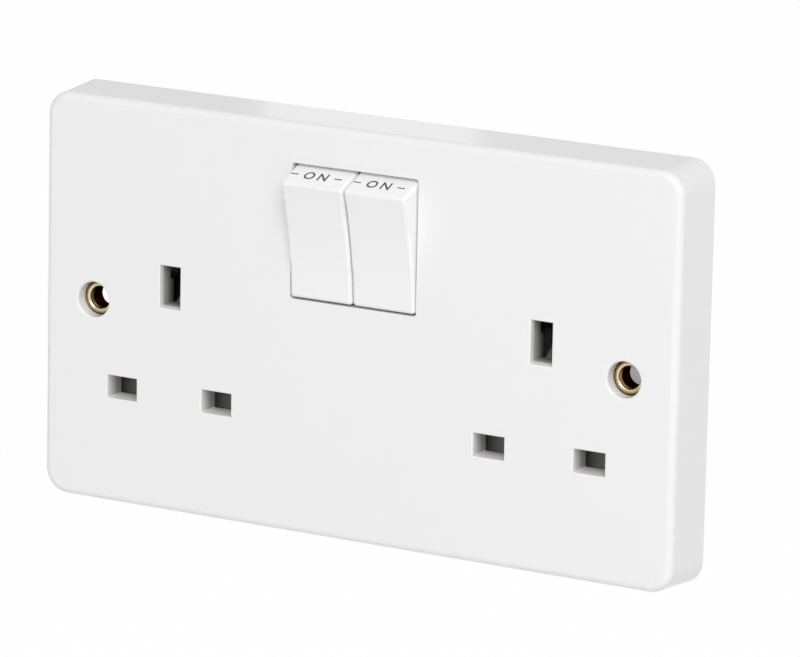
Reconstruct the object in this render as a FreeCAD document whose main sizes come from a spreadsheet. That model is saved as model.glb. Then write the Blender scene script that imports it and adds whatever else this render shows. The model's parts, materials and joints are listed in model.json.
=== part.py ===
import FreeCAD, Part
import Sketcher

import os
import re

# Twin switched wall socket, millimetres.
# X runs to the right seen from the front, Y runs into the wall and Z runs up.
# The origin is the centre of the plate's back rim, so the rim lies on the wall at y = 0.

doc = FreeCAD.newDocument("twin_socket")
sheet = doc.addObject("Spreadsheet::Sheet", "Sizes")

SIZES = {
    # Face plate
    "plate_width": 144.7,
    "plate_height": 84.5,
    "plate_depth": 12.6,
    "plate_inset": 0.7,
    "plate_corner": 5.0,
    "plate_round": 1.5,
    "face_wall": 2.6,
    "rim_wall": 2.5,
    # Pin slots
    "outlet_margin": 30.15,
    "earth_height": 4.6,
    "pin_drop": 22.23,
    "pin_spread": 22.23,
    "earth_slot_width": 4.74,
    "earth_slot_height": 8.7,
    "live_slot_width": 6.92,
    "live_slot_height": 4.69,
    "slot_depth": 5.4,
    "slot_round": 0.3,
    "collar_wall": 1.2,
    # Earth guides behind the earth slots
    "earth_lip": 1.4,
    "guide_tube": 0.9,
    "guide_fit": 0.05,
    "guide_ledge": 0.25,
    "guide_step": 1.2,
    "guide_step_height": 5.1,
    # Fixing holes and their eyelets
    "fixing_margin": 12.05,
    "fixing_height": -0.2,
    "fixing_mouth": 7.2,
    "fixing_recess": 2.4,
    "fixing_boss": 10.4,
    "fixing_boss_depth": 5.85,
    "mouth_round": 0.5,
    "eyelet_flange": 7.0,
    "eyelet_bore": 4.5,
    "eyelet_wall": 0.45,
    "eyelet_thickness": 0.8,
    "eyelet_lip": 0.58,
    "press_gap": 0.05,
    # Rockers
    "rocker_height": 19.85,
    "window_reach": 1.52,
    "rocker_width": 13.9,
    "rocker_gap": 0.3,
    "window_gap": 0.25,
    "window_corner": 0.6,
    "pivot_depth": 4.0,
    "rocker_angle": 22.6,
    "ridge_reach": 6.8,
    "ridge_span": 24.36,
    "dish": 0.8,
    "skirt_depth": 7.2,
    "rocker_wall": 1.5,
    "rocker_round": 0.7,
    "trunnion_radius": 1.2,
    "trunnion_gap": 0.05,
    "hub_radius": 2.0,
    "stem_radius": 2.75,
    "stem_reach": 8.5,
    "bore_radius": 1.8,
    "bore_start": 2.4,
    # Plunger and its spring
    "plunger_radius": 1.7,
    "plunger_start": 5.2,
    "plunger_shoulder": 9.4,
    "plunger_reach": 10.8,
    "nose_radius": 1.2,
    "nose_round": 1.14,
    "spring_gap": 0.1,
    "plunger_wire": 0.5,
    "plunger_coil_turns": 3.0,
    # See-saw contacts
    "blade_thickness": 1.2,
    "blade_width": 5.0,
    "blade_gap": 0.1,
    "blade_long_arm": 11.0,
    "blade_short_arm": 4.5,
    "arm_angle": 6.0,
    "contact_angle": 18.0,
    "contact_arm": 9.5,
    "tip_radius": 1.5,
    "tip_height": 0.8,
    "tip_gap": 0.2,
    "knife_gap": 0.05,
    # Conducting strips
    "strip": 0.8,
    "strip_width": 3.0,
    "level_gap": 1.1,
    "strip_spacing": 1.0,
    "jaw_thickness": 0.7,
    "jaw_grip": 3.4,
    "jaw_root": 4.8,
    "jaw_mouth": 5.8,
    "jaw_width": 5.0,
    "jaw_flare": 2.5,
    "earth_jaw_width": 6.0,
    "strap_width": 7.2,
    # Shutters
    "slide_gap": 0.2,
    "shutter_thickness": 2.2,
    "shutter_cover": 0.9,
    "shutter_stem": 8.4,
    "shutter_travel": 5.4,
    "ramp_length": 7.3,
    "ramp_side_gap": 0.3,
    "jaw_setback": 2.0,
    "earth_jaw_setback": 0.6,
    "guide_width": 3.0,
    "guide_thickness": 1.5,
    "shutter_spring_radius": 1.6,
    "shutter_wire": 0.5,
    "shutter_coil_turns": 4.0,
    "shutter_spring_length": 8.1,
    # Terminals
    "terminal_width": 9.0,
    "terminal_thickness": 8.0,
    "terminal_length": 8.5,
    "terminal_pitch": 13.0,
    "cable_radius": 2.5,
    "cable_way": 0.7,
    "terminal_screw_radius": 1.75,
    "terminal_head_radius": 2.4,
    "terminal_head_height": 1.8,
    "screw_gap": 0.05,
    # Rear base
    "base_wall": 1.8,
    "base_floor": 2.0,
    "base_corner": 2.0,
    "base_edge": 0.8,
    "panel_depth": 0.6,
    "panel_margin": 2.5,
    "lug_space": 14.0,
    "lug_clearance": 1.6,
    "post_half_height": 2.6,
    "post_gap": 0.3,
    "post_width": 2.9,
    "column_radius": 2.6,
    "column_spacing": 5.4,
    "upper_column_z": -3.0,
    "terminal_clearance": 2.1,
    "base_screw_radius": 1.4,
    "base_screw_length": 9.0,
    "base_screw_hold": 8.1,
    "base_head_radius": 2.6,
    "base_head_height": 1.4,
}

for row, (alias, number) in enumerate(SIZES.items(), start=1):
    cell = "A%d" % row
    sheet.set(cell, str(number))
    sheet.setAlias(cell, alias)
doc.recompute()

ALIAS = re.compile(r"\b(" + "|".join(sorted(SIZES, key=len, reverse=True)) + r")\b")


# Formulas shared by several sub-parts, all in the sheet's own names.
INNER_FACE = "(face_wall - plate_depth)"
OUTLET_X = "(plate_width/2 - outlet_margin)"
LIVE_Z = "(earth_height - pin_drop)"
FIXING_X = "(plate_width/2 - fixing_margin)"
FLANGE_FRONT = "(fixing_recess - plate_depth)"
FLANGE_BACK = "(fixing_recess + eyelet_thickness - plate_depth)"
FIXING_BACK = "(fixing_boss_depth - plate_depth)"
STRAP_BACK = "(fixing_boss_depth + strip - plate_depth)"
TUBE_RADIUS = "(eyelet_bore/2 + eyelet_wall)"
COLLAR_END = "(slot_depth - plate_depth)"
SHUTTER_FRONT = "(slot_depth + slide_gap - plate_depth)"
SHUTTER_BACK = "(slot_depth + slide_gap + shutter_thickness - plate_depth)"
WING_TOP = "(earth_height - pin_drop + live_slot_height/2 + shutter_cover)"
WING_BOTTOM = "(earth_height - pin_drop - live_slot_height/2 - shutter_cover)"
EARTH_FLOOR = "(earth_height - earth_slot_height/2)"
EARTH_TOP = "(earth_height + earth_slot_height/2)"
GUIDE_FRONT = "(earth_lip - plate_depth)"
ROCKER_X = "(rocker_width/2 + rocker_gap/2)"
WINDOW_X = "(rocker_width + rocker_gap/2 + window_gap)"
WINDOW_HALF = "(ridge_span/2 + window_reach)"
WINDOW_LOW = "(rocker_height - ridge_span/2 - window_reach)"
WINDOW_HIGH = "(rocker_height + ridge_span/2 + window_reach)"
PIVOT_Y = "(pivot_depth - plate_depth)"
SKIRT_END = "(skirt_depth - ridge_reach)"
SKIRT_SPAN = "(ridge_span/2 + skirt_depth*tan(rocker_angle/2))"
KNIFE_Y = "(pivot_depth - plate_depth + plunger_reach + nose_radius + blade_gap + blade_thickness)"
ARM_TILT = "(contact_angle/2 - arm_angle)"
TIP_Y = "(" + KNIFE_Y + " + contact_arm*sin" + ARM_TILT + " + tip_height)"
LINE_LEVEL = "(" + TIP_Y + " + tip_gap + tip_height)"
NEUTRAL_LEVEL = "(" + LINE_LEVEL + " + strip + level_gap)"
EARTH_LEVEL = "(" + NEUTRAL_LEVEL + " + strip + level_gap)"
FLOOR_INNER = "(" + EARTH_LEVEL + " + strip)"
FLOOR_OUTER = "(" + EARTH_LEVEL + " + strip + base_floor)"
LIVE_MOUTH = "(" + SHUTTER_BACK + " + jaw_setback)"
EARTH_MOUTH = "(" + SHUTTER_FRONT + " + ramp_length + earth_jaw_setback)"
TIP_Z = "(rocker_height + contact_arm*cos" + ARM_TILT + ")"
POST_FRONT = "(" + INNER_FACE + " + post_gap)"
POST_OUTER = "(rocker_width + rocker_gap/2 + post_width/2)"
LINE_RUN_X = "(" + POST_OUTER + " + strip_spacing)"
UPPER_COLUMN_X = "(" + LINE_RUN_X + " + strip_width + column_radius + column_spacing)"
LOWER_COLUMN_X = "(terminal_pitch + terminal_width/2 + column_radius + terminal_clearance)"
WEB_HALF = "(jaw_root/2 + jaw_thickness)"
LINE_RUN_Z = "(" + LIVE_Z + " + " + WEB_HALF + " + strip_spacing)"
SPRING_SEAT = "(" + WING_BOTTOM + " - shutter_spring_length)"
TERMINAL_TOP = "(" + LIVE_Z + " - strip_width/2 - strip_spacing)"
TERMINAL_Z = "(" + TERMINAL_TOP + " - terminal_length/2)"
LOWER_HALF = "(" + OUTLET_X + " + pin_spread/2 + live_slot_width/2 + 2*collar_wall + base_wall)"
MIDDLE_HALF = "(" + FIXING_X + " - fixing_boss/2 - lug_clearance)"
TOWER_HALF = "(" + LINE_RUN_X + " + strip_width + strip_spacing + base_wall)"
MIDDLE_TOP = "(earth_height + earth_slot_height/2 + 2*collar_wall + base_wall)"
TOWER_TOP = "(" + WINDOW_HIGH + " + base_wall)"
STRAP_LOW = "(fixing_height - strap_width/2)"
STRAP_HIGH = "(fixing_height + strap_width/2)"
STRAP_LEG = "(" + MIDDLE_HALF + " - base_wall - strip_spacing - strip)"

# Each terminal's name, place across and the level of its strip
TERMINALS = (
    ("neutral_terminal", "-terminal_pitch", NEUTRAL_LEVEL),
    ("earth_terminal", "0", EARTH_LEVEL),
    ("line_terminal", "terminal_pitch", LINE_LEVEL),
)


# Formulas and values
def named(formula):
    """Write a formula with the sheet in front of each of its sizes."""
    return ALIAS.sub(r"Sizes.\1", formula)


def value(formula):
    """Work a formula out as a plain number."""
    return float(sheet.evalExpression(named(formula)))


def bind(target, **formulas):
    """Bind properties of one object to formulas."""
    for name, formula in formulas.items():
        target.setExpression(name, named(formula))


def place(target, x="0", y="0", z="0", turn=None):
    """Put an object at a point, turned about X where a turn is given."""
    if turn is not None:
        target.Placement = FreeCAD.Placement(FreeCAD.Vector(), FreeCAD.Rotation(FreeCAD.Vector(1, 0, 0), 1))
        target.setExpression("Placement.Rotation.Angle", named(turn))
    target.setExpression("Placement.Base.x", named(x))
    target.setExpression("Placement.Base.y", named(y))
    target.setExpression("Placement.Base.z", named(z))


# Sketch outlines, each given as formulas
def pin_point(sketch, curve, end, across, up):
    """Hold one end of a curve at a point of the sketch."""
    for kind, formula in (("DistanceX", across), ("DistanceY", up)):
        index = sketch.addConstraint(Sketcher.Constraint(kind, -1, 1, curve, end, value(formula)))
        sketch.setExpression("Constraints[%d]" % index, named(formula))


def polygon(*points):
    """A closed outline of straight lines."""
    def draw(sketch):
        corners = [FreeCAD.Vector(value(across), value(up), 0) for across, up in points]
        first = sketch.GeometryCount
        count = len(corners)
        for i in range(count):
            sketch.addGeometry(Part.LineSegment(corners[i], corners[(i + 1) % count]), False)
        for i in range(count):
            sketch.addConstraint(Sketcher.Constraint("Coincident", first + i, 2, first + (i + 1) % count, 1))
        for i, (across, up) in enumerate(points):
            pin_point(sketch, first + i, 1, across, up)
    return draw


def rectangle(left, right, low, high):
    """A rectangle between four formulas."""
    return polygon((left, low), (right, low), (right, high), (left, high))


def circle(across, up, radius):
    """A full circle."""
    def draw(sketch):
        centre = FreeCAD.Vector(value(across), value(up), 0)
        curve = sketch.addGeometry(Part.Circle(centre, FreeCAD.Vector(0, 0, 1), value(radius)), False)
        pin_point(sketch, curve, 3, across, up)
        index = sketch.addConstraint(Sketcher.Constraint("Radius", curve, value(radius)))
        sketch.setExpression("Constraints[%d]" % index, named(radius))
    return draw


# Bodies and their features
def new_body(label):
    """An empty body with a label of its own."""
    body = doc.addObject("PartDesign::Body", label)
    body.Label = label
    return body


def new_sketch(body, plane, offset, outlines):
    """A sketch parallel to one of its body's own planes."""
    sketch = body.newObject("Sketcher::SketchObject", "outline")
    origin_plane = [f for f in body.Origin.OriginFeatures if f.Role == plane][0]
    sketch.AttachmentSupport = [(origin_plane, "")]
    sketch.MapMode = "FlatFace"
    sketch.setExpression("AttachmentOffset.Base.z", named(offset))
    for draw in outlines:
        draw(sketch)
    return sketch


def slab(body, front, back, *outlines):
    """Add material between two depths; the outlines are X and Z."""
    sketch = new_sketch(body, "XZ_Plane", "-(%s)" % back, outlines)
    pad = body.newObject("PartDesign::Pad", "slab")
    pad.Profile = sketch
    bind(pad, Length="(%s) - (%s)" % (back, front))
    doc.recompute()
    return pad


def carve(body, front, back, *outlines):
    """Take material away between two depths; the outlines are X and Z."""
    before = body.Shape.Volume
    sketch = new_sketch(body, "XZ_Plane", "-(%s)" % back, outlines)
    pocket = body.newObject("PartDesign::Pocket", "carve")
    pocket.Profile = sketch
    pocket.Reversed = True
    bind(pocket, Length="(%s) - (%s)" % (back, front))
    doc.recompute()
    if not body.Shape.Volume < before:
        raise RuntimeError("a pocket in %s cut nothing" % body.Label)
    return pocket


def prism(body, plane, offset, width, *outlines):
    """Add material to both sides of a sketch that is square to the face."""
    sketch = new_sketch(body, plane, offset, outlines)
    pad = body.newObject("PartDesign::Pad", "prism")
    pad.Profile = sketch
    pad.SideType = "Symmetric"
    bind(pad, Length=width)
    doc.recompute()
    return pad


def bore(body, plane, offset, width, *outlines):
    """Take material away on both sides of a sketch that is square to the face."""
    before = body.Shape.Volume
    sketch = new_sketch(body, plane, offset, outlines)
    pocket = body.newObject("PartDesign::Pocket", "bore")
    pocket.Profile = sketch
    pocket.SideType = "Symmetric"
    bind(pocket, Length=width)
    doc.recompute()
    if not body.Shape.Volume < before:
        raise RuntimeError("a bore in %s cut nothing" % body.Label)
    return pocket


def spun(body, *points):
    """Turn an outline of radius and depth round the Y axis."""
    sketch = new_sketch(body, "XY_Plane", "0", [polygon(*points)])
    turned = body.newObject("PartDesign::Revolution", "spun")
    turned.Profile = sketch
    turned.ReferenceAxis = (sketch, ["V_Axis"])
    doc.recompute()
    return turned


def soften(body, radius, wanted):
    """Round the edges that a test picks out."""
    base = body.Tip
    names = ["Edge%d" % (i + 1) for i, edge in enumerate(base.Shape.Edges) if wanted(edge)]
    fillet = body.newObject("PartDesign::Fillet", "soft_edges")
    fillet.Base = (base, names)
    bind(fillet, Radius=radius)
    doc.recompute()
    return fillet


def same(a, b):
    """Whether two lengths are the same to a thousandth."""
    return abs(a - b) < 1e-3


def lies_at(edge, y):
    """Whether a whole edge lies at one depth."""
    box = edge.BoundBox
    return same(box.YMin, y) and same(box.YMax, y)


def cylinder(label, radius, length, axis):
    """A cylinder along Y or Z, starting at the origin."""
    rod = doc.addObject("Part::Cylinder", label)
    bind(rod, Radius=radius, Height=length)
    if axis == "Y":
        rod.Placement = FreeCAD.Placement(FreeCAD.Vector(), FreeCAD.Rotation(FreeCAD.Vector(1, 0, 0), -90))
    return rod


def group(label, pieces):
    """Several separate solids under one label."""
    compound = doc.addObject("Part::Compound", label)
    compound.Label = label
    compound.Links = pieces
    doc.recompute()
    return compound


# Places that several sub-parts share
def frame_of(centre, pin, width, height, z):
    """The left, right, low and high edges of a pin slot."""
    x = "(%s + %s)" % (centre, pin)
    return (x + " - %s/2" % width, x + " + %s/2" % width, z + " - %s/2" % height, z + " + %s/2" % height)


def widened(edges, margin):
    """A slot's edges moved outwards by a margin."""
    left, right, low, high = edges
    return (left + " - (%s)" % margin, right + " + (%s)" % margin, low + " - (%s)" % margin,
            high + " + (%s)" % margin)


def guide_frame(side):
    """The inner edges of an earth guide, a little wider than the slot and with a ledge below."""
    x = side + OUTLET_X
    half = "(earth_slot_width/2 + guide_fit)"
    return (x + " - " + half, x + " + " + half, EARTH_FLOOR + " + guide_ledge", EARTH_TOP + " + guide_fit")


def fixing_circles(radius):
    """A circle at each fixing hole."""
    return [circle(side + FIXING_X, "fixing_height", radius) for side in ("-", "")]


def column_places():
    """The four columns that the base is screwed to."""
    upper = [(side + UPPER_COLUMN_X, "upper_column_z") for side in ("-", "")]
    return upper + [(side + LOWER_COLUMN_X, TERMINAL_Z) for side in ("-", "")]


# Mouldings
def face_plate():
    """The white front moulding: drafted, rounded, hollow behind, with collars, bosses and columns."""
    body = new_body("face_plate")
    half_w, half_h = "plate_width/2", "plate_height/2"
    rim = new_sketch(body, "XZ_Plane", "0", [rectangle("-" + half_w, half_w, "-" + half_h, half_h)])
    front = new_sketch(body, "XZ_Plane", "plate_depth", [rectangle(
        "plate_inset - " + half_w, half_w + " - plate_inset",
        "plate_inset - " + half_h, half_h + " - plate_inset")])
    loft = body.newObject("PartDesign::AdditiveLoft", "drafted_block")
    loft.Profile = rim
    loft.Sections = [front]
    loft.Ruled = True
    doc.recompute()
    soften(body, "plate_corner", lambda edge: edge.BoundBox.YLength > value("plate_depth") / 2)
    soften(body, "plate_round", lambda edge: lies_at(edge, -value("plate_depth")))
    carve(body, INNER_FACE, "0", rectangle(
        "rim_wall - " + half_w, half_w + " - rim_wall", "rim_wall - " + half_h, half_h + " - rim_wall"))

    # Collars round the pin slots, bosses round the fixing holes and columns for the base screws
    live_slots = [frame_of(side + OUTLET_X, pin, "live_slot_width", "live_slot_height", LIVE_Z)
                  for side in ("-", "") for pin in ("-pin_spread/2", "pin_spread/2")]
    earth_slots = [frame_of(side + OUTLET_X, "0", "earth_slot_width", "earth_slot_height", "earth_height")
                   for side in ("-", "")]
    overlap = INNER_FACE + " - face_wall/4"
    slab(body, overlap, COLLAR_END, *[rectangle(*widened(slot, "collar_wall")) for slot in live_slots])
    slab(body, overlap, FIXING_BACK, *fixing_circles("fixing_boss/2"))
    columns = column_places()
    slab(body, overlap, FLOOR_INNER, *[circle(x, z, "column_radius") for x, z in columns])
    carve(body, FLOOR_INNER + " - base_screw_length", FLOOR_INNER,
          *[circle(x, z, "base_screw_radius + screw_gap") for x, z in columns])

    # Slots, seats of the earth guides, rocker window and fixing holes
    carve(body, "-plate_depth", COLLAR_END, *[rectangle(*slot) for slot in live_slots])
    carve(body, "-plate_depth", INNER_FACE, *[rectangle(*slot) for slot in earth_slots])
    carve(body, GUIDE_FRONT, INNER_FACE, *[rectangle(*widened(guide_frame(side), "guide_tube + 2*guide_fit"))
                                           for side in ("-", "")])
    carve(body, "-plate_depth", INNER_FACE, rectangle(
        "-" + WINDOW_X, WINDOW_X, WINDOW_LOW, WINDOW_HIGH))
    carve(body, "-plate_depth", FLANGE_BACK, *fixing_circles("fixing_mouth/2"))
    carve(body, "-plate_depth", FIXING_BACK, *fixing_circles(TUBE_RADIUS + " + press_gap"))
    corner_x, window, middle = value(WINDOW_X), value(WINDOW_HALF), value("rocker_height")
    soften(body, "window_corner", lambda edge: same(edge.BoundBox.YLength, edge.Length)
           and same(edge.Length, value("face_wall"))
           and same(abs(edge.BoundBox.XMin), corner_x)
           and same(abs(edge.BoundBox.ZMin - middle), window))
    mouth = value("fixing_mouth")
    soften(body, "mouth_round", lambda edge: lies_at(edge, -value("plate_depth"))
           and same(edge.BoundBox.ZLength, mouth))
    longest = value("earth_slot_height + slot_round")
    soften(body, "slot_round", lambda edge: lies_at(edge, -value("plate_depth")) and edge.Length < longest
           and abs(abs(edge.BoundBox.XMin) - value(OUTLET_X)) < value("pin_spread/2 + live_slot_width"))
    return body


def base_outline(inset):
    """The base's stepped outline: wide below, clear of the box's lugs, with a tower behind the rockers."""
    lower, middle, tower = ("(%s - %s)" % (half, inset) for half in (LOWER_HALF, MIDDLE_HALF, TOWER_HALF))
    bottom = "(%s - base_wall + %s)" % (SPRING_SEAT, inset)
    step = "(-lug_space/2 - %s)" % inset
    shoulder = "(%s - %s)" % (MIDDLE_TOP, inset)
    top = "(%s - %s)" % (TOWER_TOP, inset)
    right = [(lower, bottom), (lower, step), (middle, step),
             (middle, shoulder), (tower, shoulder), (tower, top)]
    left = [("-" + x, z) for x, z in reversed(right)]
    return polygon(*right, *left)


def base():
    """The rear moulding: an open tray with posts, strip seats, tongues and ways for screws and cables."""
    body = new_body("base")
    slab(body, INNER_FACE, FLOOR_OUTER, base_outline("0"))
    depth, back = value(FLOOR_OUTER + " - " + INNER_FACE), value(FLOOR_OUTER)
    soften(body, "base_corner", lambda edge: same(edge.BoundBox.YLength, depth))
    soften(body, "base_edge", lambda edge: lies_at(edge, back))
    carve(body, INNER_FACE, FLOOR_INNER, base_outline("base_wall"))
    below_floor = FLOOR_INNER + " + base_floor/2"

    # Posts with open forks for the rocker trunnions
    post_low, post_high = "rocker_height - post_half_height", "rocker_height + post_half_height"
    post_inner = "(rocker_width + rocker_gap/2 - post_width/2)"
    slab(body, POST_FRONT, below_floor,
         rectangle("-post_width/2", "post_width/2", post_low, post_high),
         rectangle(post_inner, POST_OUTER, post_low, post_high),
         rectangle("-" + POST_OUTER, "-" + post_inner, post_low, post_high))
    fork = "(trunnion_radius + trunnion_gap)"
    wide = "2*%s + post_width" % POST_OUTER
    bore(body, "YZ_Plane", "0", wide, circle(PIVOT_Y, "rocker_height", fork))
    bore(body, "YZ_Plane", "0", wide, rectangle(
        POST_FRONT + " - post_gap/2", PIVOT_Y, "rocker_height - " + fork, "rocker_height + " + fork))

    # Seats under the strips
    def seat(x, z):
        half = "strip_width/2"
        return rectangle(x + " - " + half, x + " + " + half, z + " - " + half, z + " + " + half)

    run_z = LINE_RUN_Z + " + strip_width/2"
    run_x = LINE_RUN_X + " + strip_width/2"
    slab(body, LINE_LEVEL + " + strip", below_floor,
         seat("(%s + 2*strip_width)" % LOWER_COLUMN_X, "(%s)" % run_z),
         seat("-(%s + 2*strip_width)" % LOWER_COLUMN_X, "(%s)" % run_z),
         seat("(%s)" % run_x, "rocker_height"), seat("-(%s)" % run_x, "rocker_height"),
         seat("0", "(rocker_height - post_half_height - strip_spacing - strip_width/2)"))
    slab(body, NEUTRAL_LEVEL + " + strip", below_floor,
         seat("(%s - pin_spread/2)" % OUTLET_X, LIVE_Z), seat("(-%s - pin_spread/2)" % OUTLET_X, LIVE_Z))

    # Tongues behind the shutters, standing on the bottom wall
    guides = []
    for side in ("-", ""):
        for inner, outer in (("-", "-"), ("", "")):
            near = "(%s%s + %sshutter_stem/2)" % (side, OUTLET_X, inner)
            far = "(%s%s + %s(shutter_stem/2 + guide_width))" % (side, OUTLET_X, outer)
            ends = (far, near) if inner else (near, far)
            guides.append(rectangle(*ends, SPRING_SEAT + " - base_wall/2", WING_TOP + " + slide_gap"))
    slab(body, SHUTTER_BACK + " + slide_gap", SHUTTER_BACK + " + slide_gap + guide_thickness", *guides)

    # Notches for the earth straps and for the columns, screw ways in the floor, cable ways in the bottom wall
    for side in ("-", ""):
        inner = "%s(%s - 2*base_wall)" % (side, MIDDLE_HALF)
        outer = "%s(%s + base_wall)" % (side, MIDDLE_HALF)
        ends = (outer, inner) if side else (inner, outer)
        carve(body, INNER_FACE, STRAP_BACK + " + strip_spacing/4",
              rectangle(*ends, STRAP_LOW + " - strip_spacing/4", STRAP_HIGH + " + strip_spacing/4"))
    columns = column_places()
    carve(body, FLOOR_INNER, FLOOR_OUTER,
          *[circle(x, z, "base_screw_radius + 2*screw_gap") for x, z in columns])
    carve(body, FLOOR_OUTER + " - base_head_height", FLOOR_OUTER,
          *[circle(x, z, "base_head_radius + 2*screw_gap") for x, z in columns])
    carve(body, FLOOR_INNER, FLOOR_OUTER,
          *[circle(x, TERMINAL_Z, "terminal_head_radius + cable_way") for name, x, level in TERMINALS])
    for name, x, level in TERMINALS:
        bore(body, "XY_Plane", "(%s - base_wall/2)" % SPRING_SEAT, "2*base_wall",
             circle(x, "%s - terminal_thickness/2" % level, "cable_radius + cable_way"))

    # Shallow panels on the back, which leave ribs between them
    near_x = "(%s + base_head_radius + panel_margin)" % UPPER_COLUMN_X
    far_x = "(%s - panel_margin)" % MIDDLE_HALF
    step = "(%s + panel_margin)" % LIVE_Z
    panels = [rectangle("panel_margin - " + TOWER_HALF, TOWER_HALF + " - panel_margin",
                        MIDDLE_TOP + " + panel_margin", TOWER_TOP + " - panel_margin")]
    for left, right in ((near_x, far_x), ("-" + far_x, "-" + near_x)):
        panels.append(rectangle(left, right, step + " + panel_margin", MIDDLE_TOP + " - panel_margin"))
        panels.append(rectangle(left, right, SPRING_SEAT + " + panel_margin", step))
    carve(body, FLOOR_OUTER + " - panel_depth", FLOOR_OUTER, *panels)
    return body


def rocker(label, side):
    """One rocker, drawn level about its axis and tipped to on: dished front, hub, stem and spring bore."""
    body = new_body(label)

    def profile(sketch):
        ridge, low = value("ridge_span/2"), value(SKIRT_SPAN)
        front, middle, back = -value("ridge_reach"), value("dish - ridge_reach"), value(SKIRT_END)
        points = [("-ridge_reach", "ridge_span/2"), (SKIRT_END, SKIRT_SPAN),
                  (SKIRT_END, "-" + SKIRT_SPAN), ("-ridge_reach", "-ridge_span/2")]
        corners = [FreeCAD.Vector(front, ridge, 0), FreeCAD.Vector(back, low, 0),
                   FreeCAD.Vector(back, -low, 0), FreeCAD.Vector(front, -ridge, 0)]
        for i in range(3):
            sketch.addGeometry(Part.LineSegment(corners[i], corners[i + 1]), False)
        sketch.addGeometry(Part.Arc(corners[3], FreeCAD.Vector(middle, 0, 0), corners[0]), False)
        for i in range(2):
            sketch.addConstraint(Sketcher.Constraint("Coincident", i, 2, i + 1, 1))
        for i, (across, up) in enumerate(points[:3]):
            pin_point(sketch, i, 1, across, up)
        pin_point(sketch, 2, 2, *points[3])
        ends = {1: sketch.getPoint(3, 1), 2: sketch.getPoint(3, 2)}
        low_end = 1 if ends[1].y < ends[2].y else 2
        sketch.addConstraint(Sketcher.Constraint("Coincident", 3, low_end, 2, 2))
        sketch.addConstraint(Sketcher.Constraint("Coincident", 3, 3 - low_end, 0, 1))
        bow = "(ridge_span^2/4 + dish^2)/(2*dish)"
        index = sketch.addConstraint(Sketcher.Constraint("Radius", 3, value(bow)))
        sketch.setExpression("Constraints[%d]" % index, named(bow))

    prism(body, "YZ_Plane", "0", "rocker_width", profile)
    back = value(SKIRT_END)
    soften(body, "rocker_round", lambda edge: not lies_at(edge, back))
    inner = "(rocker_width/2 - rocker_wall)"
    carve(body, "dish + rocker_wall - ridge_reach", SKIRT_END, rectangle(
        "-" + inner, inner, "2*rocker_wall - " + SKIRT_SPAN, SKIRT_SPAN + " - 2*rocker_wall"))
    # Room in the side walls for the posts, worked out at full tilt
    post_local = "(%s - %s)" % (POST_FRONT, PIVOT_Y)
    notch = "(%s - post_half_height*sin(rocker_angle/2) - post_gap)" % post_local
    room = "(post_half_height + 4*post_gap)"
    carve(body, notch, SKIRT_END,
          rectangle("-rocker_width/2 - rocker_wall", "-" + inner, "-" + room, room),
          rectangle(inner, "rocker_width/2 + rocker_wall", "-" + room, room))
    prism(body, "YZ_Plane", "0", "rocker_width", circle("0", "0", "trunnion_radius"))
    prism(body, "YZ_Plane", "0", "2*" + inner + " - 2*post_gap", circle("0", "0", "hub_radius"))
    slab(body, "dish + rocker_wall/2 - ridge_reach", "stem_reach", circle("0", "0", "stem_radius"))
    carve(body, "bore_start", "stem_reach", circle("0", "0", "bore_radius"))
    place(body, side + ROCKER_X, PIVOT_Y, "rocker_height", "rocker_angle/2")
    return body


def shutter(label, side):
    """One shutter: a wing across both live slots, a stem and the ramp that the earth pin pushes down."""
    body = new_body(label)
    wing = "(pin_spread/2 + live_slot_width/2 + shutter_cover)"
    slab(body, SHUTTER_FRONT, SHUTTER_BACK, polygon(
        ("-" + wing, WING_BOTTOM), (wing, WING_BOTTOM), (wing, WING_TOP), ("shutter_stem/2", WING_TOP),
        ("shutter_stem/2", EARTH_FLOOR + " - slide_gap"), ("-shutter_stem/2", EARTH_FLOOR + " - slide_gap"),
        ("-shutter_stem/2", WING_TOP), ("-" + wing, WING_TOP)))
    prism(body, "YZ_Plane", "0", "earth_slot_width - 2*ramp_side_gap", polygon(
        (SHUTTER_FRONT, EARTH_FLOOR + " - slide_gap"),
        (SHUTTER_FRONT + " + ramp_length", EARTH_FLOOR + " + shutter_travel"),
        (SHUTTER_FRONT + " + ramp_length", EARTH_FLOOR + " + shutter_travel - shutter_thickness"),
        (SHUTTER_FRONT + " + shutter_thickness", EARTH_FLOOR + " - 2*shutter_thickness"),
        (SHUTTER_FRONT, EARTH_FLOOR + " - 2*shutter_thickness")))
    place(body, side + OUTLET_X)
    return body


def earth_guide(label, side):
    """The tube behind an earth slot, seated in the plate's back, its upper half cut short."""
    body = new_body(label)
    inner = guide_frame(side)
    outer = widened(inner, "guide_tube")
    slab(body, GUIDE_FRONT, COLLAR_END, rectangle(*outer))
    carve(body, COLLAR_END + " - guide_step", COLLAR_END, rectangle(
        outer[0], outer[1], EARTH_FLOOR + " + guide_step_height", outer[3]))
    carve(body, GUIDE_FRONT, COLLAR_END, rectangle(*inner))
    return body


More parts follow.
